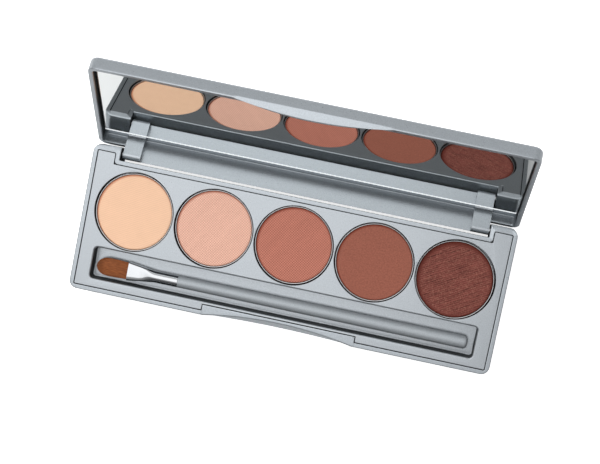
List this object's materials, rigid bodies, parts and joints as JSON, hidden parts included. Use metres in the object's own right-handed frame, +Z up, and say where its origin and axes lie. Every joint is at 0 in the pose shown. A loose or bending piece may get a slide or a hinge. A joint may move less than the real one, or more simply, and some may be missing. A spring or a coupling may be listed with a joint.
{
  "type": "eyeshadow palette",
  "caption": "Flat rectangular eyeshadow palette: round pressed-powder pans and a slotted brush in an insert plate, under a hinged lid with a mirror inside.",
  "frame": {"origin": "centre of the flat face that the base stands on", "axes": "+X along the palette's length with the brush's tip on the -X side, +Y towards the hinge, +Z up"},
  "size_m": [0.142, 0.078, 0.0448],
  "materials": {
    "case_silver": "moulded plastic with satin silver lacquer",
    "plate_silver": "moulded plastic with satin silver lacquer",
    "pan_metal": "drawn and polished",
    "powder_cream": "pressed powder, faint brushed lines",
    "powder_peach": "pressed powder, fine diagonal cloth mark",
    "powder_rose": "pressed powder, fine diagonal cloth mark",
    "powder_taupe": "pressed powder, matte and fine grained",
    "powder_plum": "pressed powder, brushed, with shimmer",
    "glue": "soft tacky glue spot",
    "pin_steel": "drawn wire",
    "mirror_glass": "silvered glass with ground edges",
    "tape": "double-sided adhesive film",
    "handle_silver": "satin silver lacquer",
    "ferrule_chrome": "polished thin metal tube",
    "bristle": "soft straight fibres"
  },
  "bodies": {
    "base": {"base_shell": "case_silver", "insert_plate": "plate_silver", "pan_1": "pan_metal", "pan_2": "pan_metal", "pan_3": "pan_metal", "pan_4": "pan_metal", "pan_5": "pan_metal", "powder_1": "powder_cream", "powder_2": "powder_peach", "powder_3": "powder_rose", "powder_4": "powder_taupe", "powder_5": "powder_plum", "pan_glue": "glue", "hinge_pin_left": "pin_steel", "hinge_pin_right": "pin_steel"},
    "lid": {"lid_shell": "case_silver", "mirror": "mirror_glass", "mirror_tape": "tape"},
    "brush": {"brush_handle": "handle_silver", "brush_ferrule": "ferrule_chrome", "brush_bristles": "bristle"}
  },
  "joints": [
    {"name": "lid_hinge", "type": "hinge", "parent": "base", "child": "lid", "pos_m": [0, 0.0222, 0.0069], "axis": [1, 0, 0], "range_deg": [0, 121.7]},
    {"name": "brush_lift", "type": "slide", "parent": "base", "child": "brush", "axis": [0, 0, 1], "range_m": [0, 0.015]}
  ]
}
